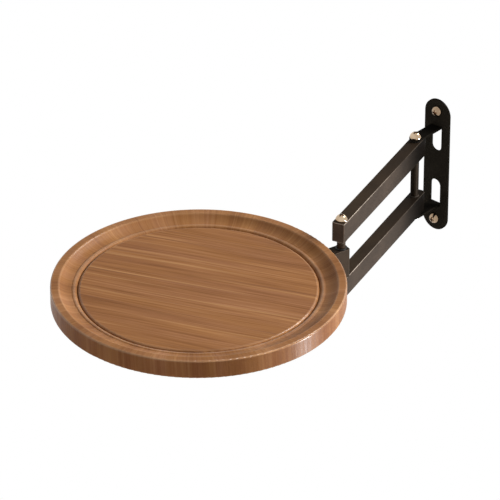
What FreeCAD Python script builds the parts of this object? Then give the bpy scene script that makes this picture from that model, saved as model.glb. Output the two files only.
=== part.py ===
import FreeCAD, Part
import math
import os
import re
import Sketcher

# A round wooden tray on a folding swing arm that is screwed to a wall.
# The wall is the plane Y = 0 and the table reaches out of it along -Y, with +Z up.
# The origin is the middle of the bracket's back face.

# Sizes in millimetres, angles in degrees from straight out of the wall, positive towards +X.
SIZES = {
    # Wall bracket
    "plate_width": 33.4,
    "plate_thick": 2.5,
    "plate_edge_round": 0.6,
    "ear_width": 13.4,
    "ear_reach": 35.5,
    "ear_bend_radius": 1.5,
    "window_length": 28.4,
    # Wall screws
    "wall_screw_rise": 17.1,
    "wall_screw_inset": 13.5,
    "wall_screw_radius": 2.5,
    "wall_screw_length": 11.0,
    "wall_screw_tip": 4.0,
    "wall_screw_neck_radius": 2.2,
    "wall_screw_neck_spare": 0.6,
    "wall_screw_head_radius": 5.9,
    "wall_screw_head_height": 5.4,
    # Swing arm
    "swing_angle_deg": 15.7,
    "swing_length": 188.0,
    "bar_width": 14.0,
    "bar_height": 22.5,
    "bar_gap": 45.0,
    "bar_edge_round": 0.8,
    "wall_overhang": 14.5,
    "wall_end_round": 4.5,
    "elbow_overhang": 8.5,
    "elbow_end_round": 1.4,
    "post_radius": 4.4,
    "post_fillet": 1.4,
    # Tray arm
    "tray_angle_deg": -14.6,
    "elbow_to_tray": 25.8,
    "arm_width": 14.0,
    "arm_height": 22.5,
    "arm_edge_round": 0.6,
    "arm_overhang": 12.0,
    "arm_end_round": 5.0,
    "knuckle_overhang": 6.8,
    "knuckle_front": 14.0,
    "knuckle_round": 2.0,
    "knuckle_step_radius": 5.0,
    # Pins, screws, washers and bushes of the two arm pivots
    "pivot_radius": 3.0,
    "pivot_head_radius": 6.3,
    "pivot_head_height": 6.2,
    "pivot_screw_radius": 2.0,
    "pivot_screw_bite": 10.0,
    "pivot_screw_tip": 0.6,
    "pivot_screw_head_radius": 5.6,
    "pivot_screw_head_height": 2.2,
    "bush_wall": 1.5,
    "bush_length": 8.0,
    "bush_flange_radius": 6.2,
    "bush_flange_thick": 0.8,
    "spacer_radius": 4.5,
    "spacer_length": 9.9,
    "spacer_flare_radius": 6.7,
    "spacer_flare_height": 3.6,
    "washer_radius": 6.0,
    "washer_thick": 0.8,
    # Swivel under the tray
    "pin_radius": 4.0,
    "pin_tail": 1.5,
    "pin_head_radius": 8.0,
    "pin_head_height": 2.0,
    "swivel_bush_wall": 1.3,
    "swivel_bush_length": 8.0,
    "swivel_flange_radius": 6.6,
    "swivel_flange_thick": 1.0,
    "swivel_plate_radius": 38.0,
    "swivel_plate_thick": 3.0,
    "swivel_hub_radius": 10.0,
    "swivel_hub_height": 3.2,
    "swivel_washer_radius": 8.0,
    "swivel_washer_thick": 1.5,
    "swivel_nut_flats": 13.0,
    "swivel_nut_height": 5.5,
    "swivel_nut_collar_height": 2.0,
    # Tray screws
    "tray_screw_count": 4,
    "tray_screw_circle_radius": 28.0,
    "tray_screw_radius": 2.0,
    "tray_screw_bite": 9.0,
    "tray_screw_tip": 3.0,
    "tray_screw_head_radius": 3.8,
    "tray_screw_head_height": 2.6,
    # Tray
    "tray_radius": 150.0,
    "tray_thick": 20.0,
    "floor_thick": 14.3,
    "floor_round": 2.8,
    "shoulder_thick": 10.6,
    "rim_width": 27.6,
    "rabbet_width": 9.0,
    "lip_width": 8.6,
    "cove_radius": 20.0,
    "cove_foot_drop": 0.2,
    "bead_width": 6.0,
    "bead_radius": 4.2,
    "bead_foot_rise": 1.0,
    "rim_top_round": 1.3,
    "rim_lip_round": 1.8,
    "rim_base_round": 1.2,
    # Fits
    "run_clear": 0.05,
    "thrust_clear": 0.1,
    "seat_clear": 0.05,
    "pivot_clear": 0.3,
    "bore_spare": 1.0,
    "cut_overrun": 1.0,
    # Shares of the piece that carries each feature
    "dome_edge_share": 0.2,
    "recess_length_share": 0.5,
    "recess_width_share": 0.13,
    "recess_depth_share": 0.5,
    "collar_share": 0.9,
    "fillet_room_share": 0.8,
}

doc = FreeCAD.newDocument("wall_table")
sheet = doc.addObject("Spreadsheet::Sheet", "Sizes")
for row, (alias, size) in enumerate(SIZES.items(), start=1):
    sheet.set(f"A{row}", alias)
    sheet.set(f"B{row}", str(size))
    sheet.setAlias(f"B{row}", alias)
doc.recompute()

sub_parts = []


def bound(expression):
    """Put the sheet's name in front of every size in an expression."""
    return re.sub(r"[a-z]\w*", lambda word: "Sizes." * (word[0] in SIZES) + word[0], expression)


def value(expression):
    """The present value of an expression in sizes."""
    return float(sheet.evalExpression(bound(expression)))


# Places that several pieces share, as expressions in the sizes.
BAR_INNER = "(bar_gap / 2)"
BAR_OUTER = "(bar_gap / 2 + bar_height)"
EAR_INNER = f"({BAR_OUTER} + bush_flange_thick + thrust_clear)"
EAR_OUTER = f"({EAR_INNER} + plate_thick)"
WALL_SCREW_Z = f"({EAR_OUTER} + wall_screw_rise)"
PLATE_END = f"({WALL_SCREW_Z} + wall_screw_inset)"
ARM_BOTTOM = "(bush_flange_thick + thrust_clear - bar_gap / 2)"
ARM_TOP = f"({ARM_BOTTOM} + arm_height)"
KNUCKLE_TOP = "(bar_gap / 2 - spacer_length - bush_flange_thick - thrust_clear)"
SWIVEL_DROP = "(swivel_plate_thick + swivel_hub_height + thrust_clear + swivel_flange_thick)"
TRAY_BASE = f"({ARM_TOP} + {SWIVEL_DROP})"
WALL_AXIS_Y = "(-plate_thick - ear_reach)"
TRAY_REACH = "(tray_radius + elbow_to_tray)"
ELBOW_X = "(swing_length * sin(swing_angle_deg * 1deg))"
ELBOW_Y = f"({WALL_AXIS_Y} - swing_length * cos(swing_angle_deg * 1deg))"
TRAY_X = f"({ELBOW_X} + {TRAY_REACH} * sin(tray_angle_deg * 1deg))"
TRAY_Y = f"({ELBOW_Y} - {TRAY_REACH} * cos(tray_angle_deg * 1deg))"
WELL_RADIUS = "(tray_radius - rim_width)"
PANEL_RADIUS = f"({WELL_RADIUS} + rabbet_width)"
SWING_TURN = "(swing_angle_deg - 90)"
TRAY_TURN = "(tray_angle_deg - 90)"
MATCH = 1000 * FreeCAD.Base.Precision.confusion()
Z_AXIS = FreeCAD.Vector(0, 0, 1)
X_AXIS = FreeCAD.Vector(1, 0, 0)


def add_body(label, x="0", y="0", z="0", turn="0", axis=Z_AXIS):
    """A sub-part whose own origin lies at (x, y, z), turned about one axis."""
    body = doc.addObject("PartDesign::Body", label)
    body.Label = label
    body.Placement = FreeCAD.Placement(FreeCAD.Vector(), FreeCAD.Rotation(axis, 90))
    for name, place in (("Base.x", x), ("Base.y", y), ("Base.z", z), ("Rotation.Angle", turn)):
        body.setExpression(f".Placement.{name}", bound(place))
    sub_parts.append(body)
    return body


def origin_feature(body, role):
    """One of a body's own origin planes or axes."""
    return next(feature for feature in body.Origin.OriginFeatures if feature.Role == role)


def arc_centre(start, end, bend):
    """Centre of an arc from one known coordinate, or from its radius and sense."""
    kind, size, sense = bend
    chord = end - start
    reach = (end.dot(end) - start.dot(start)) / 2
    if kind == "centre_x":
        return FreeCAD.Vector(value(size), (reach - chord.x * value(size)) / chord.y, 0)
    if kind == "centre_y":
        return FreeCAD.Vector((reach - chord.y * value(size)) / chord.x, value(size), 0)
    rise = math.sqrt(value(size) ** 2 - chord.Length ** 2 / 4)
    left = FreeCAD.Vector(-chord.y, chord.x, 0).normalize()
    return (start + end) / 2 + left * rise * sense


def bind(sketch, constraint, size):
    """Add a constraint and tie it to an expression in sizes."""
    index = sketch.addConstraint(constraint)
    sketch.setExpression(f"Constraints[{index}]", bound(size))


def hold(sketch, direction, edge, point, size):
    """Tie one coordinate of a point of an edge to an expression in sizes."""
    bind(sketch, Sketcher.Constraint(direction, -1, 1, edge, point, value(size)), size)


def draw_outline(sketch, corners):
    """Close an outline through corners (x, y), or (x, y, bend) where an arc leaves the corner."""
    points = [FreeCAD.Vector(value(corner[0]), value(corner[1]), 0) for corner in corners]
    edges = []
    for number, corner in enumerate(corners):
        start, end = points[number], points[(number + 1) % len(points)]
        if len(corner) == 2:
            edges.append((sketch.addGeometry(Part.LineSegment(start, end)), 1, 2))
            continue
        bend = corner[2]
        centre = arc_centre(start, end, bend)
        angles = [math.atan2(point.y - centre.y, point.x - centre.x) for point in (start, end)]
        first, last = angles if bend[2] > 0 else reversed(angles)
        circle = Part.Circle(centre, Z_AXIS, (start - centre).Length)
        sweep = (last - first) % (2 * math.pi)
        arc = sketch.addGeometry(Part.ArcOfCircle(circle, first, first + sweep))
        edges.append((arc, 1, 2) if bend[2] > 0 else (arc, 2, 1))
    for number, corner in enumerate(corners):
        edge, first, last = edges[number]
        after, after_first, _ = edges[(number + 1) % len(edges)]
        sketch.addConstraint(Sketcher.Constraint("Coincident", edge, last, after, after_first))
        hold(sketch, "DistanceX", edge, first, corner[0])
        hold(sketch, "DistanceY", edge, first, corner[1])
    for (edge, _, _), corner in zip(edges, corners):
        if len(corner) == 2:
            continue
        kind, size, _ = corner[2]
        if kind == "centre_x":
            hold(sketch, "DistanceX", edge, 3, size)
        elif kind == "centre_y":
            hold(sketch, "DistanceY", edge, 3, size)
        else:
            bind(sketch, Sketcher.Constraint("Radius", edge, value(size)), size)


def new_sketch(body, name, plane, rise, x, y):
    """An empty sketch, shifted by (x, y) on one of the body's planes and lifted off it along its normal."""
    sketch = body.newObject("Sketcher::SketchObject", f"{body.Name}_{name}")
    sketch.AttachmentSupport = [(origin_feature(body, plane), "")]
    sketch.MapMode = "FlatFace"
    for axis, shift in zip("xyz", (x, y, rise)):
        sketch.setExpression(f".AttachmentOffset.Base.{axis}", bound(shift))
    return sketch


def add_sketch(body, name, plane, corners, rise="0", x="0", y="0"):
    """A sketch of one closed outline."""
    sketch = new_sketch(body, name, plane, rise, x, y)
    draw_outline(sketch, corners)
    return sketch


def add_circle(body, name, radius, rise="0", x="0", y="0", plane="XY_Plane"):
    """A sketch of one circle about (x, y)."""
    sketch = new_sketch(body, name, plane, rise, x, y)
    edge = sketch.addGeometry(Part.Circle(FreeCAD.Vector(), Z_AXIS, value(radius)))
    sketch.addConstraint(Sketcher.Constraint("Coincident", edge, 3, -1, 1))
    bind(sketch, Sketcher.Constraint("Radius", edge, value(radius)), radius)
    return sketch


def pad(body, sketch, length, both_sides=False):
    """Raise a sketch along its normal, or evenly to both sides of it."""
    feature = body.newObject("PartDesign::Pad", f"{sketch.Name}_pad")
    feature.Profile = sketch
    feature.Midplane = both_sides
    feature.setExpression("Length", bound(length))
    sketch.Visibility = False
    doc.recompute()
    return feature


def pocket(body, sketch, depth, reverse=False):
    """Cut a sketch against its normal, or along it, and make sure that material went."""
    before = body.Shape.Volume
    feature = body.newObject("PartDesign::Pocket", f"{sketch.Name}_pocket")
    feature.Profile = sketch
    feature.Reversed = reverse
    feature.setExpression("Length", bound(depth))
    sketch.Visibility = False
    doc.recompute()
    if not body.Shape.Volume < before:
        raise RuntimeError(f"{feature.Name} cut nothing")
    return feature


def revolve(body, name, corners, x="0", y="0"):
    """Turn a profile of (radius, height) corners about the upright line at (x, y)."""
    sketch = add_sketch(body, name, "XZ_Plane", corners, f"-({y})", x)
    feature = body.newObject("PartDesign::Revolution", f"{sketch.Name}_turned")
    feature.Profile = sketch
    feature.ReferenceAxis = (sketch, ["V_Axis"])
    sketch.Visibility = False
    doc.recompute()
    return feature


def mirror(body, features, plane="XY_Plane"):
    """Repeat features on the other side of one of the body's planes."""
    feature = body.newObject("PartDesign::Mirrored", f"{body.Name}_mirrored")
    feature.Originals = features
    feature.MirrorPlane = (origin_feature(body, plane), [""])
    body.Tip = feature
    doc.recompute()
    return feature


def polar(body, features, count):
    """Repeat features round the body's upright axis."""
    feature = body.newObject("PartDesign::PolarPattern", f"{body.Name}_ring")
    feature.Originals = features
    feature.Axis = (origin_feature(body, "Z_Axis"), [""])
    feature.setExpression("Occurrences", bound(count))
    body.Tip = feature
    doc.recompute()
    return feature


def round_edges(body, name, radius, wanted):
    """Fillet the edges of the body's present shape that a test picks out."""
    base = body.Tip
    edges = [f"Edge{number}" for number, edge in enumerate(base.Shape.Edges, start=1) if wanted(edge)]
    feature = body.newObject("PartDesign::Fillet", f"{body.Name}_{name}")
    feature.Base = (base, edges)
    feature.setExpression("Radius", bound(radius))
    doc.recompute()
    return feature


def near(first, second):
    """Whether two lengths agree."""
    return math.isclose(first, second, abs_tol=MATCH)


def is_circle(edge, radius, height):
    """Whether an edge is a level circle or arc of this radius at this height."""
    curve = edge.Curve
    if not isinstance(curve, Part.Circle):
        return False
    return near(curve.Radius, value(radius)) and near(curve.Center.z, value(height))


def lies_level(edge, height):
    """Whether a whole edge lies in the level plane at this height."""
    return near(edge.BoundBox.ZMin, height) and near(edge.BoundBox.ZMax, height)


def stands_upright(edge):
    """Whether an edge is a straight upright line."""
    return near(edge.BoundBox.XLength, 0) and near(edge.BoundBox.YLength, 0)


def box_outline(low_x, high_x, low_y, high_y):
    """A plain rectangle."""
    return [(low_x, low_y), (high_x, low_y), (high_x, high_y), (low_x, high_y)]


def tongue_outline(width, straight, centre):
    """A strip across the sketch's y axis with a square end at one y and a round end about another."""
    half = f"({width} / 2)"
    sense = 1 if value(centre) > value(straight) else -1
    return [
        (f"-{half}", straight),
        (half, straight),
        (half, centre, ("centre_y", centre, sense)),
        (f"-{half}", centre),
    ]


def bar_outline(low_x, high_x, width, low_round, high_round):
    """A bar seen from above, with its four upright corners rounded."""
    half = f"({width} / 2)"
    low_in = f"({low_x} + {low_round})"
    high_in = f"({high_x} - {high_round})"
    return [
        (low_in, f"-{half}"),
        (high_in, f"-{half}", ("centre_x", high_in, 1)),
        (high_x, f"{high_round} - {half}"),
        (high_x, f"{half} - {high_round}", ("centre_x", high_in, 1)),
        (high_in, half),
        (low_in, half, ("centre_x", low_in, 1)),
        (low_x, f"{half} - {low_round}"),
        (low_x, f"{low_round} - {half}", ("centre_x", low_in, 1)),
    ]


def cross_outline(radius):
    """A cross recess for a head of this radius."""
    long = f"({radius} * recess_length_share)"
    thin = f"({radius} * recess_width_share)"
    steps = [(thin, long, 1, 1), (thin, long, -1, 1), (thin, thin, -1, 1), (long, thin, -1, 1)]
    steps += [(long, thin, -1, -1), (thin, thin, -1, -1), (thin, long, -1, -1), (thin, long, 1, -1)]
    steps += [(thin, thin, 1, -1), (long, thin, 1, -1), (long, thin, 1, 1), (thin, thin, 1, 1)]
    return [(f"{across} * {right}", f"{along} * {up}") for across, along, right, up in steps]


def hexagon_outline(flats):
    """A hexagon of this width across its flats."""
    side = f"({flats} / 2)"
    slope = f"({flats} / (2 * sqrt(3)))"
    point = f"({flats} / sqrt(3))"
    return [
        ("0", f"-{point}"),
        (side, f"-{slope}"),
        (side, slope),
        ("0", point),
        (f"-{side}", slope),
        (f"-{side}", f"-{slope}"),
    ]


def round_head_screw(body, head_radius, head_height, radius, length, tip, x="0", y="0", neck=None):
    """A screw at (x, y) that points down from its head's seat at height zero, with a cross recess."""
    profile = [("0", f"-{length}"), (radius, f"{tip} - {length}")]
    shank = radius
    if neck:
        shank, neck_length = neck
        profile += [(radius, f"-{neck_length}"), (shank, f"-{neck_length}")]
    profile += [
        (shank, "0"),
        (head_radius, "0"),
        (head_radius, f"{head_height} * dome_edge_share", ("centre_x", "0", 1)),
        ("0", head_height),
    ]
    turned = revolve(body, "screw", profile, x, y)
    recess = add_sketch(body, "recess", "XY_Plane", cross_outline(head_radius), head_height, x, y)
    return [turned, pocket(body, recess, f"{head_height} * recess_depth_share")]


def add_ring(label, x, y, z, inner, outer, height):
    """A plain ring that stands on z."""
    body = add_body(label, x, y, z)
    revolve(body, "ring", box_outline(inner, outer, "0", height))


def add_lock_nut(label, x, y, z, flats, height, collar, bore):
    """A hexagon nut that hangs below z, with a round locking collar at its foot."""
    body = add_body(label, x, y, z)
    pad(body, add_sketch(body, "hexagon", "XY_Plane", hexagon_outline(flats), f"-{height}"), height)
    foot = f"(-{height} - {collar})"
    pad(body, add_circle(body, "collar", f"({flats} / 2 * collar_share)", foot), collar)
    pocket(body, add_circle(body, "bore", bore), f"{height} + {collar} + cut_overrun")


def flanged_bush(bore, wall, length, flange_radius, flange_thick, seat):
    """Half section of a bush let in below a seat height, with its flange on top of the seat."""
    return [
        (bore, f"{seat} - {length}"),
        (f"{bore} + {wall}", f"{seat} - {length}"),
        (f"{bore} + {wall}", seat),
        (flange_radius, seat),
        (flange_radius, f"{seat} + {flange_thick}"),
        (bore, f"{seat} + {flange_thick}"),
    ]


def make_wall_bracket():
    """Upright plate with round ends; each ear stands out above a window of its own width."""
    body = add_body("wall_bracket")
    half = "(plate_width / 2)"
    end = f"({PLATE_END} - {half})"
    stadium = [
        (half, f"-{end}"),
        (half, end, ("centre_y", end, 1)),
        (f"-{half}", end),
        (f"-{half}", f"-{end}", ("centre_y", f"-{end}", 1)),
    ]
    pad(body, add_sketch(body, "plate", "XZ_Plane", stadium), "plate_thick")
    tongue = tongue_outline("ear_width", "0", WALL_AXIS_Y)
    ear = pad(body, add_sketch(body, "ear", "XY_Plane", tongue, EAR_INNER), "plate_thick")
    pivot_hole = pocket(body, add_circle(
        body, "pivot_hole", "pivot_radius + seat_clear", EAR_OUTER, y=WALL_AXIS_Y), "plate_thick")
    window_centre = f"({EAR_INNER} - window_length + ear_width / 2)"
    opening = tongue_outline("ear_width", EAR_INNER, window_centre)
    window = pocket(body, add_sketch(body, "window", "XZ_Plane", opening), "plate_thick", True)
    screw_hole = pocket(body, add_circle(
        body, "screw_hole", "wall_screw_radius + seat_clear", y=WALL_SCREW_Z, plane="XZ_Plane"),
        "plate_thick", True)
    mirror(body, [ear, pivot_hole, window, screw_hole])
    front = -value("plate_thick")
    round_edges(body, "bends", "ear_bend_radius", lambda edge: (
        near(edge.BoundBox.YMin, front) and near(edge.BoundBox.YMax, front)
        and near(edge.BoundBox.XLength, value("ear_width"))
        and near(abs(edge.CenterOfMass.z), value(EAR_OUTER))))
    width = value("plate_width")
    round_edges(body, "rim", "plate_edge_round", lambda edge: (
        near(edge.BoundBox.YMin, front) and near(edge.BoundBox.YMax, front)
        and (near(2 * abs(edge.CenterOfMass.x), width) or near(edge.BoundBox.XLength, width))))


def make_wall_screws():
    """Two round-head screws through the plate, thinner inside it, their points in the wall."""
    body = add_body("wall_screws", y="-plate_thick", turn="90", axis=X_AXIS)
    neck = ("wall_screw_neck_radius", "(plate_thick + wall_screw_neck_spare)")
    upper = round_head_screw(
        body, "wall_screw_head_radius", "wall_screw_head_height", "wall_screw_radius",
        "(plate_thick + wall_screw_length)", "wall_screw_tip", y=WALL_SCREW_Z, neck=neck)
    mirror(body, upper, "XZ_Plane")


def make_swing_arm():
    """Two bars one above the other, joined at the wall end by a bored post on the pivot axis."""
    body = add_body("swing_arm", y=WALL_AXIS_Y, turn=SWING_TURN)
    pivot_bore = "(pivot_radius + pivot_clear)"
    bush_seat = "(pivot_radius + run_clear + bush_wall + seat_clear)"
    pad(body, add_circle(body, "post", "post_radius"), "bar_gap", True)
    far_end = "(swing_length + elbow_overhang)"
    outline = bar_outline("(-wall_overhang)", far_end, "bar_width", "wall_end_round", "elbow_end_round")
    bar = pad(body, add_sketch(body, "bar", "XY_Plane", outline, BAR_INNER), "bar_height")
    seat = pocket(body, add_circle(body, "bush_seat", bush_seat, BAR_OUTER), "bush_length + seat_clear")
    hole = pocket(body, add_circle(
        body, "elbow_hole", "pivot_radius + seat_clear", BAR_OUTER, "swing_length"), "bar_height")
    mirror(body, [bar, seat, hole])
    neck = "min(post_fillet; (bar_width / 2 - post_radius - bar_edge_round) * fillet_room_share)"
    round_edges(body, "neck", neck, lambda edge: (
        is_circle(edge, "post_radius", BAR_INNER) or is_circle(edge, "post_radius", f"-{BAR_INNER}")))
    side = value("bar_width / 2")
    levels = [value(BAR_OUTER), value(BAR_INNER), -value(BAR_INNER), -value(BAR_OUTER)]
    round_edges(body, "edges", "bar_edge_round", lambda edge: (
        any(lies_level(edge, level) for level in levels)
        and near(abs(edge.CenterOfMass.y), side) and edge.BoundBox.XLength > side))
    pocket(body, add_circle(body, "pivot_bore", pivot_bore, f"{BAR_OUTER} + cut_overrun"),
           f"2 * ({BAR_OUTER} + cut_overrun)")


def make_tray_arm():
    """Tall knuckle on the elbow pin, stepped down to a bar that reaches under the tray."""
    body = add_body("tray_arm", ELBOW_X, ELBOW_Y, turn=TRAY_TURN)
    step_in = "(knuckle_front + knuckle_step_radius)"
    step_up = f"({ARM_TOP} + knuckle_step_radius)"
    tip = f"({TRAY_REACH} + arm_overhang)"
    side_view = [
        ("-knuckle_overhang", ARM_BOTTOM),
        (tip, ARM_BOTTOM),
        (tip, ARM_TOP),
        (step_in, ARM_TOP, ("centre_x", step_in, -1)),
        ("knuckle_front", step_up),
        ("knuckle_front", KNUCKLE_TOP),
        ("-knuckle_overhang", KNUCKLE_TOP),
    ]
    pad(body, add_sketch(body, "side", "XZ_Plane", side_view), "arm_width", True)
    round_edges(body, "tip", "arm_end_round", lambda edge: (
        stands_upright(edge) and near(edge.CenterOfMass.x, value(tip))))
    round_edges(body, "knuckle", "knuckle_round", lambda edge: (
        stands_upright(edge) and near(edge.CenterOfMass.x, value("-knuckle_overhang"))))
    side = value("arm_width / 2")
    levels = [value(ARM_BOTTOM), value(ARM_TOP), value(KNUCKLE_TOP)]
    round_edges(body, "edges", "arm_edge_round", lambda edge: (
        any(lies_level(edge, level) for level in levels) and near(abs(edge.CenterOfMass.y), side)))
    elbow_seat = "(pivot_radius + run_clear + bush_wall + seat_clear)"
    swivel_seat = "(pin_radius + run_clear + swivel_bush_wall + seat_clear)"
    elbow_hole = "(pivot_radius + pivot_clear)"
    swivel_hole = "(pin_radius + pivot_clear)"
    deep = "bush_length + seat_clear"
    swivel_deep = "swivel_bush_length + seat_clear"
    pocket(body, add_circle(body, "upper_seat", elbow_seat, KNUCKLE_TOP), deep)
    pocket(body, add_circle(body, "lower_seat", elbow_seat, ARM_BOTTOM), deep, True)
    pocket(body, add_circle(body, "elbow_bore", elbow_hole, KNUCKLE_TOP), f"{KNUCKLE_TOP} - {ARM_BOTTOM}")
    pocket(body, add_circle(body, "swivel_upper_seat", swivel_seat, ARM_TOP, TRAY_REACH), swivel_deep)
    pocket(body, add_circle(
        body, "swivel_lower_seat", swivel_seat, ARM_BOTTOM, TRAY_REACH), swivel_deep, True)
    pocket(body, add_circle(body, "swivel_bore", swivel_hole, ARM_TOP, TRAY_REACH), "arm_height")


def make_bushes():
    """Flanged bushes in pairs, one let in from each end of what they carry."""
    bore = "(pivot_radius + run_clear)"
    pair = (bore, "bush_wall", "bush_length", "bush_flange_radius", "bush_flange_thick")
    wall = add_body("wall_bushes", y=WALL_AXIS_Y)
    mirror(wall, [revolve(wall, "bush", flanged_bush(*pair, BAR_OUTER))])
    elbow = add_body("elbow_bushes", ELBOW_X, ELBOW_Y, f"({KNUCKLE_TOP} + {ARM_BOTTOM}) / 2")
    mirror(elbow, [revolve(elbow, "bush", flanged_bush(*pair, f"(({KNUCKLE_TOP} - {ARM_BOTTOM}) / 2)"))])
    swivel = add_body("swivel_bushes", TRAY_X, TRAY_Y, f"({ARM_TOP} + {ARM_BOTTOM}) / 2")
    mirror(swivel, [revolve(swivel, "bush", flanged_bush(
        "(pin_radius + run_clear)", "swivel_bush_wall", "swivel_bush_length",
        "swivel_flange_radius", "swivel_flange_thick", "(arm_height / 2)"))])


def make_arm_pivots():
    """Round-head pins of both pivots, the screw and washer at each foot, and the elbow's flared spacer."""
    pivots = [("wall_pivot", "0", WALL_AXIS_Y, EAR_OUTER), ("elbow", ELBOW_X, ELBOW_Y, BAR_OUTER)]
    screw_hole = "(pivot_screw_radius + seat_clear)"
    for name, x, y, seat in pivots:
        length = f"(2 * {seat})"
        pin = add_body(f"{name}_pin", x, y, seat)
        round_head_screw(pin, "pivot_head_radius", "pivot_head_height", "pivot_radius", length, "0")
        pocket(pin, add_circle(pin, "screw_hole", screw_hole, f"-{length}"),
               "pivot_screw_bite + bore_spare", True)
        below = f"(-{seat} - washer_thick)"
        add_ring(f"{name}_washer", x, y, below, screw_hole, "washer_radius", "washer_thick")
        screw = add_body(f"{name}_screw", x, y, below, "180", X_AXIS)
        round_head_screw(
            screw, "pivot_screw_head_radius", "pivot_screw_head_height", "pivot_screw_radius",
            "(washer_thick + pivot_screw_bite)", "pivot_screw_tip")
    spacer = add_body("elbow_spacer", ELBOW_X, ELBOW_Y, f"{BAR_INNER} - spacer_length")
    revolve(spacer, "sleeve", [
        ("pivot_radius + seat_clear", "0"),
        ("spacer_radius", "0"),
        ("spacer_radius", "spacer_length - spacer_flare_height"),
        ("spacer_flare_radius", "spacer_length"),
        ("pivot_radius + seat_clear", "spacer_length"),
    ])


def make_swivel():
    """Plate and headed pin under the tray, with the pin's washer and lock nut below the arm."""
    low = "(-swivel_plate_thick - swivel_hub_height)"
    pin_hole = "(pin_radius + seat_clear)"
    head_hole = "(pin_head_radius + seat_clear)"
    plate = add_body("swivel_plate", TRAY_X, TRAY_Y, TRAY_BASE)
    revolve(plate, "plate", [
        (pin_hole, low),
        ("swivel_hub_radius", low),
        ("swivel_hub_radius", "-swivel_plate_thick"),
        ("swivel_plate_radius", "-swivel_plate_thick"),
        ("swivel_plate_radius", "0"),
        (head_hole, "0"),
        (head_hole, "-pin_head_height"),
        (pin_hole, "-pin_head_height"),
    ])
    hole = pocket(plate, add_circle(
        plate, "screw_hole", "tray_screw_radius + seat_clear", x="tray_screw_circle_radius"),
        "swivel_plate_thick")
    polar(plate, [hole], "tray_screw_count")
    below = f"({SWIVEL_DROP} + arm_height + swivel_flange_thick + thrust_clear)"
    nut_top = f"({below} + swivel_washer_thick)"
    foot = f"(-{nut_top} - swivel_nut_height - swivel_nut_collar_height - pin_tail)"
    pin = add_body("swivel_pin", TRAY_X, TRAY_Y, TRAY_BASE)
    revolve(pin, "pin", [
        ("0", foot),
        ("pin_radius", foot),
        ("pin_radius", "-pin_head_height"),
        ("pin_head_radius", "-pin_head_height"),
        ("pin_head_radius", "0"),
        ("0", "0"),
    ])
    add_ring("swivel_washer", TRAY_X, TRAY_Y, f"{TRAY_BASE} - {nut_top}", pin_hole,
             "swivel_washer_radius", "swivel_washer_thick")
    add_lock_nut("swivel_nut", TRAY_X, TRAY_Y, f"{TRAY_BASE} - {nut_top}", "swivel_nut_flats",
                 "swivel_nut_height", "swivel_nut_collar_height", pin_hole)


def make_tray():
    """Turned ring with a lip, a cove and a bead, over the shoulder of a flat panel."""
    rim = add_body("tray_rim", TRAY_X, TRAY_Y, TRAY_BASE)
    rabbet = f"({PANEL_RADIUS} + seat_clear)"
    lip = "(tray_radius - lip_width)"
    revolve(rim, "profile", [
        (rabbet, "0"),
        ("tray_radius", "0"),
        ("tray_radius", "tray_thick"),
        (lip, "tray_thick", ("radius", "cove_radius", -1)),
        (f"{WELL_RADIUS} + bead_width", "floor_thick - cove_foot_drop", ("radius", "bead_radius", 1)),
        (WELL_RADIUS, "shoulder_thick + bead_foot_rise"),
        (WELL_RADIUS, "shoulder_thick"),
        (rabbet, "shoulder_thick"),
    ])
    round_edges(rim, "top", "rim_top_round", lambda edge: is_circle(edge, "tray_radius", "tray_thick"))
    round_edges(rim, "lip", "rim_lip_round", lambda edge: is_circle(edge, lip, "tray_thick"))
    round_edges(rim, "base", "rim_base_round", lambda edge: is_circle(edge, "tray_radius", "0"))
    floor = add_body("tray_floor", TRAY_X, TRAY_Y, TRAY_BASE)
    step = "(floor_thick - shoulder_thick)"
    top_radius = f"({WELL_RADIUS} - seat_clear)"
    pad(floor, add_circle(floor, "shoulder", PANEL_RADIUS), "shoulder_thick")
    pad(floor, add_circle(floor, "top", top_radius, "shoulder_thick"), step)
    round_edges(floor, "edge", f"min(floor_round; {step} * fillet_room_share)", lambda edge: (
        is_circle(edge, top_radius, "floor_thick")))
    pilot = pocket(floor, add_circle(
        floor, "pilot", "tray_screw_radius + seat_clear", x="tray_screw_circle_radius"),
        "tray_screw_bite + seat_clear", True)
    polar(floor, [pilot], "tray_screw_count")


def make_tray_screws():
    """Round-head wood screws in a ring, driven up through the swivel plate into the floor."""
    body = add_body(
        "tray_screws", TRAY_X, TRAY_Y, f"{TRAY_BASE} - swivel_plate_thick", "180", X_AXIS)
    screw = round_head_screw(
        body, "tray_screw_head_radius", "tray_screw_head_height", "tray_screw_radius",
        "(swivel_plate_thick + tray_screw_bite)", "tray_screw_tip", x="tray_screw_circle_radius")
    polar(body, screw, "tray_screw_count")


make_wall_bracket()
make_wall_screws()
make_swing_arm()
make_tray_arm()
make_bushes()
make_arm_pivots()
make_swivel()
make_tray()
make_tray_screws()
doc.recompute()

for item in doc.Objects:
    if "Invalid" in item.State or "Error" in item.State:
        raise RuntimeError(f"{item.Name} failed: {item.State}")
for body in sub_parts:
    if body.Shape.isNull() or not body.Shape.isValid():
        raise RuntimeError(f"{body.Label} has no valid shape")

os.makedirs("parts", exist_ok=True)
for body in sub_parts:
    body.Shape.exportStep(f"parts/{body.Label}.step")
    print(body.Label, len(body.Shape.Solids), round(body.Shape.Volume))
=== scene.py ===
import math

import bpy
from mathutils import Matrix, Vector


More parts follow.
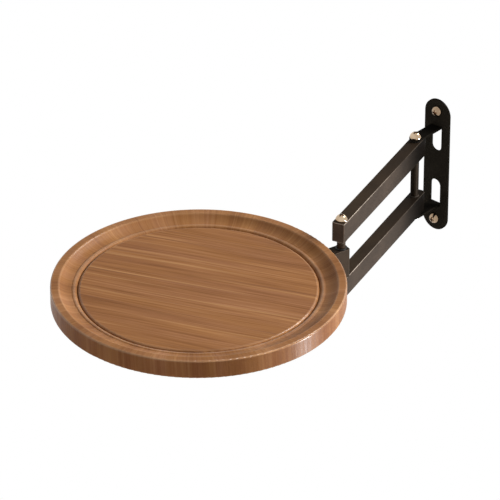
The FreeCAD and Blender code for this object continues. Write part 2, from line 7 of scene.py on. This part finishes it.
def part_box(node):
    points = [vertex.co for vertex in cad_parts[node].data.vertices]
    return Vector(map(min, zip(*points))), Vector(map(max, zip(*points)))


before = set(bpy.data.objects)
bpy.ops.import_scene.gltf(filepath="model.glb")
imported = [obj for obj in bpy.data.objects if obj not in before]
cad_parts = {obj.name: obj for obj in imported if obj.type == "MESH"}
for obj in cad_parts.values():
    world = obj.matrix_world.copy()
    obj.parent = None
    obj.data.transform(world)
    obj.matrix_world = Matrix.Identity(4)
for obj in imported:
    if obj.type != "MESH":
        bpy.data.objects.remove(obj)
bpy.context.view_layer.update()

# A round walnut tray on a folding swing arm that is screwed to a wall.
# Everything is in metres: the wall is the plane Y = 0, and +Z is up.

# Camera: its bearing round from -Y, its height above the horizon, and how far
# the origin lies to the right of its centre line and above it.
CAMERA_BEARING = math.radians(41.4583)
CAMERA_HEIGHT = math.radians(30.3958)
CAMERA_DISTANCE = 4.562737
CAMERA_OFFSET = (0.200859, 0.092324)
FOCAL_PIXELS = 4253.16
IMAGE_PIXELS = 500
SENSOR_MM = 36.0

# Light: where the lamps point, and the strength of the light from all round.
LIGHT_AIM = Vector((0.02, -0.28, 0.0))
AMBIENT = 0.41
WHITE = (1.0, 1.0, 1.0, 1.0)

# Floor: a pale sheet well below the tray, which keeps its shadow in the middle
# and fades to white between two distances from there.
FLOOR_Z = -0.75
FLOOR_HALF = 6.0
FLOOR_FADE = (0.35, 0.75)
FLOOR_CLOUDS = 3.0
FLOOR_DARK = (0.80, 0.80, 0.80)
FLOOR_PALE = (0.82, 0.82, 0.82)

# Tray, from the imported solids. The grain of its floor has a bearing from +X,
# and that of its rim leans by an angle in radians per metre of climb.
tray_low, tray_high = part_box("tray_rim")
TRAY_CENTRE = (tray_low + tray_high) / 2
TRAY_RADIUS = (tray_high.x - tray_low.x) / 2
GRAIN_BEARING = math.radians(22.0)
RIM_LEAN = 0.4

# Convex edges of the turned tray, as (radius, height above its middle, rubbed,
# varnished): the stain is paler there, partly as wear and partly as a painted
# highlight, and the varnish gathers.
RIM_EDGES = [
    (0.1496, 0.0096, 1.0, 0.75),
    (0.1412, 0.0096, 0.6, 0.2),
    (0.1260, 0.0044, 0.5, 0.5),
    (0.1496, -0.0096, 1.0, 0.0),
]
FLOOR_EDGES = [(0.1206, 0.0041, 0.5, 0.4)]
RUBBED_HIGHLIGHT, VARNISHED = 2, 3
EDGE_REACH = (0.0003, 0.0019)

# Walnut: its tones from dark to pale, and the colours that are laid over them.
WALNUT_TONES = [
    (0.0, (0.176, 0.062, 0.017)),
    (0.35, (0.280, 0.114, 0.037)),
    (0.65, (0.347, 0.150, 0.053)),
    (1.0, (0.470, 0.224, 0.090)),
]
WALNUT_COOL = (0.97, 0.96, 1.08)
WALNUT_WARM = (1.02, 1.01, 0.95)
WALNUT_VEIN = (0.150, 0.060, 0.034)
WALNUT_LINE = (0.500, 0.260, 0.110)
WALNUT_PORE = (0.100, 0.036, 0.014)
WALNUT_STRIPE = (0.175, 0.050, 0.018)
# Paler stain on the tray's edges: partly wear, partly a painted highlight.
WALNUT_RUBBED_HIGHLIGHT = (0.560, 0.310, 0.140)

# Features of its grain per metre, along the fibres and twice across them.
SWAY_SCALE = (4.0, 7.0, 7.0)
BAND_SCALE = (2.2, 26.0, 26.0)
STREAK_SCALE = (6.0, 230.0, 230.0)
HAIR_SCALE = (12.0, 620.0, 620.0)
CAST_SCALE = (7.0, 60.0, 60.0)
VEIN_SCALE = (2.6, 230.0, 230.0)
LINE_SCALE = (2.6, 260.0, 260.0)
STAVE_SCALE = (2.0, 95.0, 95.0)
PORE_SCALE = (90.0, 1700.0, 1700.0)

# How far the fibres sway, and where the casts and pale lines take their noise.
SWAY_REACH = 0.012
CAST_SHIFT = (1.0, 4.0, 2.0)
LINE_SHIFT = (3.0, 1.0, 2.0)

# Spans of a noise over which a feature comes in, and its strength.
MOST = (0.3, 0.7)
TONE_SPAN = (0.26, 0.74)
CAST_SPAN = (0.25, 0.70)
VEIN_SPAN = (0.60, 0.72)
PORE_SPAN = (0.60, 0.75)
RUB_HIGHLIGHT_SPAN = (0.25, 0.75)
VEIN_SHARE = 0.50
LINE_SHARE = 0.55
PORE_SHARE = 0.20
STRIPE_LEAST = 0.10
RUB_HIGHLIGHT_SHARES = (0.15, 0.45)
WALNUT_ROUGHNESS = (0.30, 0.42)

# Powder coat: features per metre, and how they change its brightness.
CLOUD_SCALE = 45.0
SPECK_SCALE = 1400.0
PEEL_SCALE = 700.0
CLOUD_SHARE = 0.6
SPECK_SHARE = 0.4
MOTTLE_SPAN = (0.35, 0.65)
MOTTLE = (0.82, 1.18)
EDGE_SHARES = (0.5, 1.0)
COAT_VARIES = 0.05
COAT_GLEAM = (1.0, 0.80, 0.62, 1.0)

# How level a face is, from 0 upright to 1 level: where rounded edges start and
# end, where the coat of upright faces gives way, and where stripes stop.
EDGE_START = (0.12, 0.35)
EDGE_END = (0.75, 0.97)
UPRIGHT_TO_LEVEL = (0.15, 0.95)
STRIPE_END = (0.2, 0.6)
FALL = (1.0, 0.0)

# The first arm's coat has painted shade by its pivot, on its sides, post and top,
# and under it; these are spans of distance from the pivot and of height.
WALL_PIVOT = (0.0, -0.038, 0.0)
ARM_DARK = (0.0034, 0.0024, 0.0017)
POST_DARK = (0.0120, 0.0085, 0.0058)
TOP_DARK = (0.0220, 0.0145, 0.0092)
SIDES_REACH = (0.005, 0.085)
POST_END = (0.020, 0.024)
TOP_REACH = (0.0, 0.13)
UNDER_REACH = (0.0, 0.06)
UNDER_RISE = (-0.02, 0.0)
# Where along the arm its paler edges, partly wear and partly a painted highlight, come
# in.
WORN_HIGHLIGHT_REACH = (0.05, 0.15)
WORN_HIGHLIGHT_SHARES = (0.1, 1.0)

# Faces whose coat is painted paler or darker as painted light and shade, as (the
# way they face, how nearly they face it where this starts and where it is full,
# their brightness): the arm's far end and one corner get a painted highlight, its
# other corner and the bracket's faces towards +X a painted shade.
BRACKET_FACES = [((1.0, 0.0, 0.0), (0.5, 0.95), 0.4)]
ARM_FACES = [
    ((0.2706, -0.9627, 0.0), (0.85, 0.97), 1.45),
    ((0.8721, -0.4894, 0.0), (0.88, 0.97), 2.6),
    ((-0.4894, -0.8721, 0.0), (0.80, 0.95), 0.6),
]

# Metal and nylon: features per metre, and their colours and roughness.
TARNISH_SCALE = 160.0
MARK_SCALE = 2600.0
MARK_SMOOTHER = 0.06
MARK_ROUGHER = 0.08
GRIT_SCALE = 2200.0
NYLON_DARK = (0.012, 0.012, 0.012)
NYLON_PALE = (0.026, 0.025, 0.024)
NYLON_ROUGHNESS = (0.5, 0.65)


class Shader:
    """A material in the making: adds nodes, sets their sockets and joins them."""

    def __init__(self, name):
        self.material = bpy.data.materials.new(name)
        self.material.use_nodes = True
        self.tree = self.material.node_tree
        self.tree.nodes.clear()
        self.surface = self.add("ShaderNodeBsdfPrincipled")
        self.output = self.add("ShaderNodeOutputMaterial")
        self.put(self.output.inputs["Surface"], self.surface.outputs["BSDF"])

    def put(self, socket, value):
        """Join a socket to another, or set it to a constant."""
        if isinstance(value, bpy.types.NodeSocket):
            self.tree.links.new(value, socket)
        else:
            socket.default_value = value

    def add(self, kind, values=None, **settings):
        """Add a node with its settings, and its sockets by name or number."""
        node = self.tree.nodes.new(kind)
        for name, setting in settings.items():
            setattr(node, name, setting)
        for name, value in (values or {}).items():
            self.put(node.inputs[name], value)
        return node

    def finish(self, **values):
        """Set the surface's sockets, with _ for a space, and give the material."""
        for name, value in values.items():
            self.put(self.surface.inputs[name.replace("_", " ")], value)
        return self.material

    def place(self):
        """Where a point lies on its piece, in the part's own frame."""
        return self.add("ShaderNodeTexCoord").outputs["Object"]

    def facing(self):
        """The way a point's surface faces, in the part's own frame."""
        return self.add("ShaderNodeTexCoord").outputs["Normal"]

    def vector(self, operation, first, second=None):
        """Vector maths whose result is a vector."""
        values = {0: first}
        if second is not None:
            values["Scale" if operation == "SCALE" else 1] = second
        node = self.add("ShaderNodeVectorMath", values, operation=operation)
        return node.outputs["Vector"]

    def dot(self, first, second):
        """How far two directions agree."""
        values = {0: first, 1: second}
        node = self.add("ShaderNodeVectorMath", values, operation="DOT_PRODUCT")
        return node.outputs["Value"]

    def length(self, vector):
        """The length of a vector."""
        node = self.add("ShaderNodeVectorMath", {0: vector}, operation="LENGTH")
        return node.outputs["Value"]

    def flat(self, vector):
        """A vector without its upright part."""
        return self.vector("MULTIPLY", vector, (1.0, 1.0, 0.0))

    def turn(self, vector, angle):
        """Turn a vector about the upright axis."""
        values = {"Vector": vector, "Angle": angle}
        node = self.add("ShaderNodeVectorRotate", values, rotation_type="Z_AXIS")
        return node.outputs["Vector"]

    def parts(self, vector):
        """The three parts of a vector."""
        return self.add("ShaderNodeSeparateXYZ", {0: vector}).outputs

    def join(self, *parts):
        """A vector from its parts."""
        return self.add("ShaderNodeCombineXYZ", dict(enumerate(parts))).outputs[0]

    def calc(self, operation, first, second=0.0):
        """Maths on two numbers, or on the first alone."""
        values = {0: first, 1: second}
        return self.add("ShaderNodeMath", values, operation=operation).outputs[0]

    def times(self, first, second):
        """One number times another."""
        return self.calc("MULTIPLY", first, second)

    def levelness(self):
        """How level a point's surface is, from 0 upright to 1 level."""
        return self.calc("ABSOLUTE", self.parts(self.facing())[2])

    def noise(self, vector, scale=1.0, detail=2.0, roughness=0.5, stretch=None):
        """Smooth noise from 0 to 1; stretch is its features per metre by axis."""
        if stretch:
            vector = self.vector("MULTIPLY", vector, stretch)
        values = {
            "Vector": vector, "Scale": scale, "Detail": detail, "Roughness": roughness}
        return self.add("ShaderNodeTexNoise", values).outputs[0]

    def spread(self, factor, span, to=(0.0, 1.0)):
        """Map a span of a factor to another span, held at its ends."""
        values = dict(enumerate((factor, *span, *to)))
        node = self.add("ShaderNodeMapRange", values, interpolation_type="SMOOTHSTEP")
        return node.outputs[0]

    def ramp(self, factor, stops):
        """Colours at stops along a factor."""
        node = self.add("ShaderNodeValToRGB", {0: factor})
        elements = node.color_ramp.elements
        while len(elements) < len(stops):
            elements.new(1.0)
        for element, (position, colour) in zip(elements, stops):
            element.position = position
            element.color = (*colour, 1.0)
        return node.outputs[0]

    def mix(self, factor, first, second):
        """Blend two colours."""
        node = self.add("ShaderNodeMix", {0: factor}, data_type="RGBA", blend_type="MIX")
        for socket, value in ((6, first), (7, second)):
            colour = (*value, 1.0) if isinstance(value, tuple) else value
            self.put(node.inputs[socket], colour)
        return node.outputs[2]

    def bump(self, height, strength, distance):
        """A surface's normal with relief."""
        values = {"Height": height, "Strength": strength, "Distance": distance}
        return self.add("ShaderNodeBump", values).outputs["Normal"]


def on_tray(shader):
    """Where a point lies from the tray's middle."""
    return shader.vector("SUBTRACT", shader.place(), tuple(TRAY_CENTRE))


def on_edges(shader, edges, column):
    """One column's share at each of the tray's edges, and 0 a little way off."""
    place = on_tray(shader)
    radius = shader.length(shader.flat(place))
    height = shader.parts(place)[2]
    total = 0.0
    for edge in edges:
        away = shader.join(
            shader.calc("SUBTRACT", radius, edge[0]),
            shader.calc("SUBTRACT", height, edge[1]),
        )
        near = shader.spread(shader.length(away), EDGE_REACH, (edge[column], 0.0))
        total = shader.calc("MAXIMUM", total, near)
    return total


def floor_grain(shader):
    """Straight grain across the tray's floor."""
    return shader.turn(on_tray(shader), -GRAIN_BEARING)


def rim_grain(shader):
    """Grain that climbs the rim's side and runs in over its lip, all round."""
    place = on_tray(shader)
    flat = shader.flat(place)
    inward = shader.calc("SUBTRACT", TRAY_RADIUS, shader.length(flat))
    climb = shader.calc("ADD", shader.parts(place)[2], inward)
    ring = shader.vector("SCALE", shader.vector("NORMALIZE", flat), TRAY_RADIUS)
    ring = shader.parts(shader.turn(ring, shader.times(climb, RIM_LEAN)))
    return shader.join(climb, ring[0], ring[1])


def walnut(name, grain, tint, edges, shares, figure, stripes):
    """Walnut with fibres along X of a grain vector, varnished on its edges.

    Shares are those of bands, streaks and hairs in its tone, figure is the
    strength of veins and pale lines, and stripes that of stripes on its sides.
    """
    shader = Shader(name)
    fibre = grain(shader)
    sway = shader.noise(fibre, stretch=SWAY_SCALE, detail=1.0)
    sway = shader.vector("SCALE", (0.0, 1.0, 0.0), shader.times(sway, SWAY_REACH))
    swayed = shader.vector("ADD", fibre, sway)
    bands = shader.noise(swayed, stretch=BAND_SCALE)
    streaks = shader.noise(swayed, stretch=STREAK_SCALE, detail=3.0, roughness=0.6)
    hairs = shader.noise(swayed, stretch=HAIR_SCALE)
    tone = 0.0
    for layer, share in zip((bands, streaks, hairs), shares):
        tone = shader.calc("ADD", tone, shader.times(layer, share))
    colour = shader.ramp(shader.spread(tone, TONE_SPAN), WALNUT_TONES)
    colour = shader.vector("MULTIPLY", colour, tint)

    shifted = shader.vector("ADD", swayed, CAST_SHIFT)
    cast = shader.spread(shader.noise(shifted, stretch=CAST_SCALE), CAST_SPAN)
    cast = shader.mix(cast, WALNUT_COOL, WALNUT_WARM)
    colour = shader.vector("MULTIPLY", colour, cast)
    veins = shader.noise(swayed, stretch=VEIN_SCALE, detail=1.0)
    veins = shader.spread(veins, VEIN_SPAN, (0.0, VEIN_SHARE * figure))
    colour = shader.mix(veins, colour, WALNUT_VEIN)
    shifted = shader.vector("ADD", swayed, LINE_SHIFT)
    lines = shader.noise(shifted, stretch=LINE_SCALE, detail=1.0)
    lines = shader.spread(lines, VEIN_SPAN, (0.0, LINE_SHARE * figure))
    colour = shader.mix(lines, colour, WALNUT_LINE)
    if stripes:
        side = shader.spread(shader.levelness(), STRIPE_END, FALL)
        staves = shader.noise(fibre, stretch=STAVE_SCALE, detail=4.0, roughness=0.7)
        staves = shader.spread(staves, MOST, (STRIPE_LEAST, stripes))
        colour = shader.mix(shader.times(side, staves), colour, WALNUT_STRIPE)

    pores = shader.noise(swayed, stretch=PORE_SCALE, detail=1.0)
    pits = shader.spread(pores, PORE_SPAN)
    colour = shader.mix(shader.times(pits, PORE_SHARE), colour, WALNUT_PORE)
    # Paler edges: partly wear, partly a painted highlight along them.
    rubbed_highlight = on_edges(shader, edges, RUBBED_HIGHLIGHT)
    rubbed_highlight = shader.times(rubbed_highlight, shader.spread(bands, RUB_HIGHLIGHT_SPAN, RUB_HIGHLIGHT_SHARES))
    colour = shader.mix(rubbed_highlight, colour, WALNUT_RUBBED_HIGHLIGHT)
    relief = shader.calc("SUBTRACT", shader.times(hairs, 0.5), pits)
    return shader.finish(
        Base_Color=colour,
        Roughness=shader.spread(streaks, MOST, WALNUT_ROUGHNESS),
        Specular_IOR_Level=0.05,
        Coat_Weight=on_edges(shader, edges, VARNISHED),
        Coat_Roughness=0.22,
        Normal=shader.bump(relief, strength=0.10, distance=0.0004),
    )


def powder_coat(name, level, upright, worn_highlight, roughness, specular, faces=(), pivot=None):
    """Baked powder coat with a faint orange peel.

    It has one colour on level faces and a paler one on upright faces, which are
    painted shade and painted light, and one where rounded edges are paler, partly
    as wear and partly as a painted highlight. Faces given by the way they face are
    made paler or darker, as painted light and shade. An arm, given by its pivot,
    has painted shade there and under it, and its paler edges are strongest towards
    its far end.
    """
    shader = Shader(name)
    place = shader.place()
    facing = shader.facing()
    cloud = shader.noise(place, CLOUD_SCALE, detail=3.0)
    speck = shader.noise(place, SPECK_SCALE)
    cloudy = shader.times(cloud, CLOUD_SHARE)
    tone = shader.calc("ADD", cloudy, shader.times(speck, SPECK_SHARE))
    shade = shader.spread(tone, MOTTLE_SPAN, MOTTLE)
    lift = shader.levelness()
    # Rounded edges paler: partly wear, partly a painted highlight along creases.
    rounded = shader.spread(lift, EDGE_START)
    edge = shader.times(rounded, shader.spread(lift, EDGE_END, FALL))
    edge = shader.times(edge, shader.spread(cloud, MOST, EDGE_SHARES))
    # Painted shade: darker by the wall pivot, on the post and under the upper bar.
    if pivot:
        away = shader.vector("SUBTRACT", place, pivot)
        reach = shader.length(shader.flat(away))
        rise = shader.parts(place)[2]
        edge = shader.times(edge, shader.spread(reach, WORN_HIGHLIGHT_REACH, WORN_HIGHLIGHT_SHARES))
        bars = shader.spread(shader.calc("ABSOLUTE", rise), POST_END)
        dark = shader.mix(bars, POST_DARK, ARM_DARK)
        upright = shader.mix(shader.spread(reach, SIDES_REACH), dark, upright)
        low = shader.spread(rise, UNDER_RISE, FALL)
        under = shader.times(low, shader.spread(reach, UNDER_REACH, FALL))
        level = shader.mix(shader.spread(reach, TOP_REACH), TOP_DARK, level)
        level = shader.mix(under, level, POST_DARK)
    # Painted light and shade on faces that face given ways.
    for direction, span, brightness in faces:
        turned = shader.spread(shader.dot(facing, direction), span, (1.0, brightness))
        shade = shader.times(shade, turned)
    # Painted shade on level faces and painted light on upright ones.
    colour = shader.mix(shader.spread(lift, UPRIGHT_TO_LEVEL), upright, level)
    colour = shader.mix(edge, colour, worn_highlight)
    peel = shader.noise(place, PEEL_SCALE)
    varied = (roughness - COAT_VARIES, roughness + COAT_VARIES)
    return shader.finish(
        Base_Color=shader.vector("MULTIPLY", colour, shader.join(shade, shade, shade)),
        Roughness=shader.spread(cloud, MOST, varied),
        Specular_IOR_Level=specular,
        Specular_Tint=COAT_GLEAM,
        Normal=shader.bump(peel, strength=0.10, distance=0.0003),
    )


def metal(name, colour, tint, roughness):
    """Plated metal with faint turning marks and a slight change of tint."""
    shader = Shader(name)
    place = shader.place()
    cloud = shader.noise(place, TARNISH_SCALE)
    marks = shader.noise(place, MARK_SCALE)
    varied = (roughness - MARK_SMOOTHER, roughness + MARK_ROUGHER)
    return shader.finish(
        Base_Color=shader.mix(shader.spread(cloud, MOST), colour, tint),
        Metallic=1.0,
        Roughness=shader.spread(marks, MOST, varied),
        Normal=shader.bump(marks, strength=0.05, distance=0.0002),
    )


def nylon(name):
    """Moulded black nylon with a fine matt texture."""
    shader = Shader(name)
    grit = shader.noise(shader.place(), GRIT_SCALE)
    return shader.finish(
        Base_Color=shader.mix(grit, NYLON_DARK, NYLON_PALE),
        Roughness=shader.spread(grit, MOST, NYLON_ROUGHNESS),
        Specular_IOR_Level=0.3,
        Normal=shader.bump(grit, strength=0.15, distance=0.0002),
    )


# Level colours below are painted shade and upright colours painted light.
bronze = powder_coat(
    "bronze_coat",
    level=(0.022, 0.015, 0.010),
    upright=(0.050, 0.034, 0.023),
    worn_highlight=(0.110, 0.085, 0.065),
    roughness=0.46,
    specular=0.02,
)
arm_bronze = powder_coat(
    "arm_bronze_coat",
    level=(0.036, 0.024, 0.015),
    upright=(0.058, 0.043, 0.033),
    worn_highlight=(0.420, 0.350, 0.290),
    roughness=0.46,
    specular=0.02,
    faces=ARM_FACES,
    pivot=WALL_PIVOT,
)
black = powder_coat(
    "black_coat",
    level=(0.006, 0.005, 0.004),
    upright=(0.024, 0.020, 0.015),
    worn_highlight=(0.019, 0.015, 0.011),
    roughness=0.65,
    specular=0.005,
    faces=BRACKET_FACES,
)
gold = metal("gold_plate", (0.47, 0.34, 0.22), (0.60, 0.46, 0.32), roughness=0.13)
dull_gold = metal(
    "dull_gold_plate", (0.32, 0.22, 0.14), (0.46, 0.34, 0.23), roughness=0.14)
zinc = metal("zinc_plate", (0.42, 0.43, 0.43), (0.53, 0.53, 0.51), roughness=0.34)
bush_nylon = nylon("bush_nylon")
floor_walnut = walnut(
    "walnut_floor",
    floor_grain,
    tint=(0.99, 1.01, 1.05),
    edges=FLOOR_EDGES,
    shares=(0.24, 0.42, 0.34),
    figure=1.0,
    stripes=0.0,
)
rim_walnut = walnut(
    "walnut_rim",
    rim_grain,
    tint=(1.03, 1.09, 1.18),
    edges=RIM_EDGES,
    shares=(0.56, 0.24, 0.20),
    figure=0.4,
    stripes=0.55,
)
FINISHES = {
    floor_walnut: ["tray_floor"],
    rim_walnut: ["tray_rim"],
    bronze: ["tray_arm", "elbow_spacer", "swivel_plate"],
    arm_bronze: ["swing_arm"],
    black: ["wall_bracket"],
    gold: ["wall_pivot_pin", "elbow_pin"],
    dull_gold: ["wall_screws"],
    zinc: [
        "wall_pivot_washer", "wall_pivot_screw", "elbow_washer", "elbow_screw",
        "swivel_pin", "swivel_washer", "swivel_nut", "tray_screws",
    ],
    bush_nylon: ["wall_bushes", "elbow_bushes", "swivel_bushes"],
}
for finish, nodes in FINISHES.items():
    for node in nodes:
        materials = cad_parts[node].data.materials
        materials.clear()
        materials.append(finish)


def seen(tree):
    """1 for the rays that show the background: camera, gloss and glass."""
    path = tree.nodes.new("ShaderNodeLightPath")
    total = path.outputs["Is Camera Ray"]
    for name in ("Is Glossy Ray", "Is Transmission Ray"):
        either = tree.nodes.new("ShaderNodeMath")
        either.operation = "MAXIMUM"
        tree.links.new(total, either.inputs[0])
        tree.links.new(path.outputs[name], either.inputs[1])
        total = either.outputs[0]
    return total


def add_floor():
    """The pale floor, which isn't part of the object."""
    mesh = bpy.data.meshes.new("floor")
    corners = [(-1, -1), (1, -1), (1, 1), (-1, 1)]
    points = [(x * FLOOR_HALF, y * FLOOR_HALF, 0.0) for x, y in corners]
    mesh.from_pydata(points, [], [(0, 1, 2, 3)])
    floor = bpy.data.objects.new("floor", mesh)
    floor.location = (TRAY_CENTRE.x, TRAY_CENTRE.y, FLOOR_Z)
    bpy.context.scene.collection.objects.link(floor)
    shader = Shader("floor_white")
    fade = shader.spread(shader.length(shader.place()), FLOOR_FADE)
    cloud = shader.noise(shader.place(), FLOOR_CLOUDS)
    material = shader.finish(
        Base_Color=shader.mix(cloud, FLOOR_DARK, FLOOR_PALE),
        Roughness=0.9,
        Specular_IOR_Level=0.1,
    )
    white = shader.add("ShaderNodeEmission", {"Color": WHITE, "Strength": 1.0})
    choice = shader.add("ShaderNodeMixShader", {
        0: shader.times(fade, seen(shader.tree)),
        1: shader.surface.outputs["BSDF"],
        2: white.outputs[0],
    })
    shader.put(shader.output.inputs["Surface"], choice.outputs[0])
    mesh.materials.append(material)


def add_world():
    """A world that is white to look at and lights the object softly."""
    world = bpy.data.worlds.new("studio")
    bpy.context.scene.world = world
    world.use_nodes = True
    tree = world.node_tree
    tree.nodes.clear()
    output = tree.nodes.new("ShaderNodeOutputWorld")
    choice = tree.nodes.new("ShaderNodeMixShader")
    tree.links.new(seen(tree), choice.inputs[0])
    for socket, strength in ((1, AMBIENT), (2, 1.0)):
        light = tree.nodes.new("ShaderNodeBackground")
        light.inputs["Color"].default_value = WHITE
        light.inputs["Strength"].default_value = strength
        tree.links.new(light.outputs[0], choice.inputs[socket])
    tree.links.new(choice.outputs[0], output.inputs["Surface"])


def add_light(name, bearing, height, distance, size, level, gleam=False):
    """A square soft box; a white face turned to it renders at about its level.

    Light and gleam are separate boxes, so that no glare of the main one lies on
    the tray at a low view: with gleam, a box is seen only in reflections.
    """
    data = bpy.data.lights.new(name, "AREA")
    data.shape = "SQUARE"
    data.size = size
    data.energy = level * math.pi ** 2 * distance ** 2
    bearing, height = math.radians(bearing), math.radians(height)
    back = Vector((
        math.sin(bearing) * math.cos(height),
        -math.cos(bearing) * math.cos(height),
        math.sin(height),
    ))
    light = bpy.data.objects.new(name, data)
    light.location = LIGHT_AIM + back * distance
    light.rotation_mode = "QUATERNION"
    light.rotation_quaternion = back.to_track_quat("Z", "Y")
    light.visible_camera = False
    light.visible_diffuse = not gleam
    light.visible_glossy = gleam
    bpy.context.scene.collection.objects.link(light)


def add_camera():
    """The camera, at the photograph's viewing angle."""
    right = Vector((math.cos(CAMERA_BEARING), math.sin(CAMERA_BEARING), 0.0))
    level = Vector((math.sin(CAMERA_BEARING), -math.cos(CAMERA_BEARING), 0.0))
    upright = Vector((0.0, 0.0, 1.0))
    back = level * math.cos(CAMERA_HEIGHT) + upright * math.sin(CAMERA_HEIGHT)
    up = upright * math.cos(CAMERA_HEIGHT) - level * math.sin(CAMERA_HEIGHT)
    place = back * CAMERA_DISTANCE - right * CAMERA_OFFSET[0] - up * CAMERA_OFFSET[1]
    turned = Matrix((right, up, back)).transposed().to_4x4()
    data = bpy.data.cameras.new("camera")
    data.sensor_width = SENSOR_MM
    data.lens = FOCAL_PIXELS * SENSOR_MM / IMAGE_PIXELS
    camera = bpy.data.objects.new("camera", data)
    camera.matrix_world = Matrix.Translation(place) @ turned
    bpy.context.scene.collection.objects.link(camera)
    bpy.context.scene.camera = camera


add_floor()
add_world()
add_light("key", bearing=141.0, height=25.0, distance=5.2, size=2.2, level=1.5)
add_light(
    "edge_gleam", bearing=168.0, height=45.0, distance=2.4, size=1.1, level=1.15,
    gleam=True)
add_light(
    "side_gleam", bearing=124.0, height=-28.0, distance=1.3, size=0.2, level=1.0,
    gleam=True)
add_camera()
bpy.context.scene.view_settings.view_transform = "Standard"
